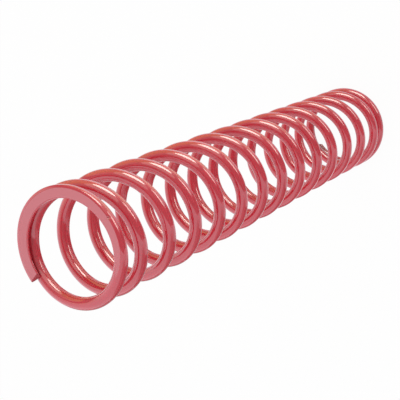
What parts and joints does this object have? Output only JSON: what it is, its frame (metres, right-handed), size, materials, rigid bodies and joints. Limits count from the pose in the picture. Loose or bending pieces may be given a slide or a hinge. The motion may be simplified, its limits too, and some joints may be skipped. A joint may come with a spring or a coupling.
{
  "type": "barrier balance spring",
  "caption": "Long red-painted compression spring of round steel wire with closed and ground ends, which balances a barrier's boom.",
  "frame": {"origin": "on the coil's axis, at the lower ground face", "axes": "+Z along the coil's axis from the lower ground face to the upper one; +X through the lower tip of the wire"},
  "size_m": [0.055, 0.055, 0.312],
  "materials": {
    "red_paint": "gloss red enamel over spring steel"
  },
  "bodies": {
    "root": {"coil_spring": "red_paint"}
  },
  "joints": []
}
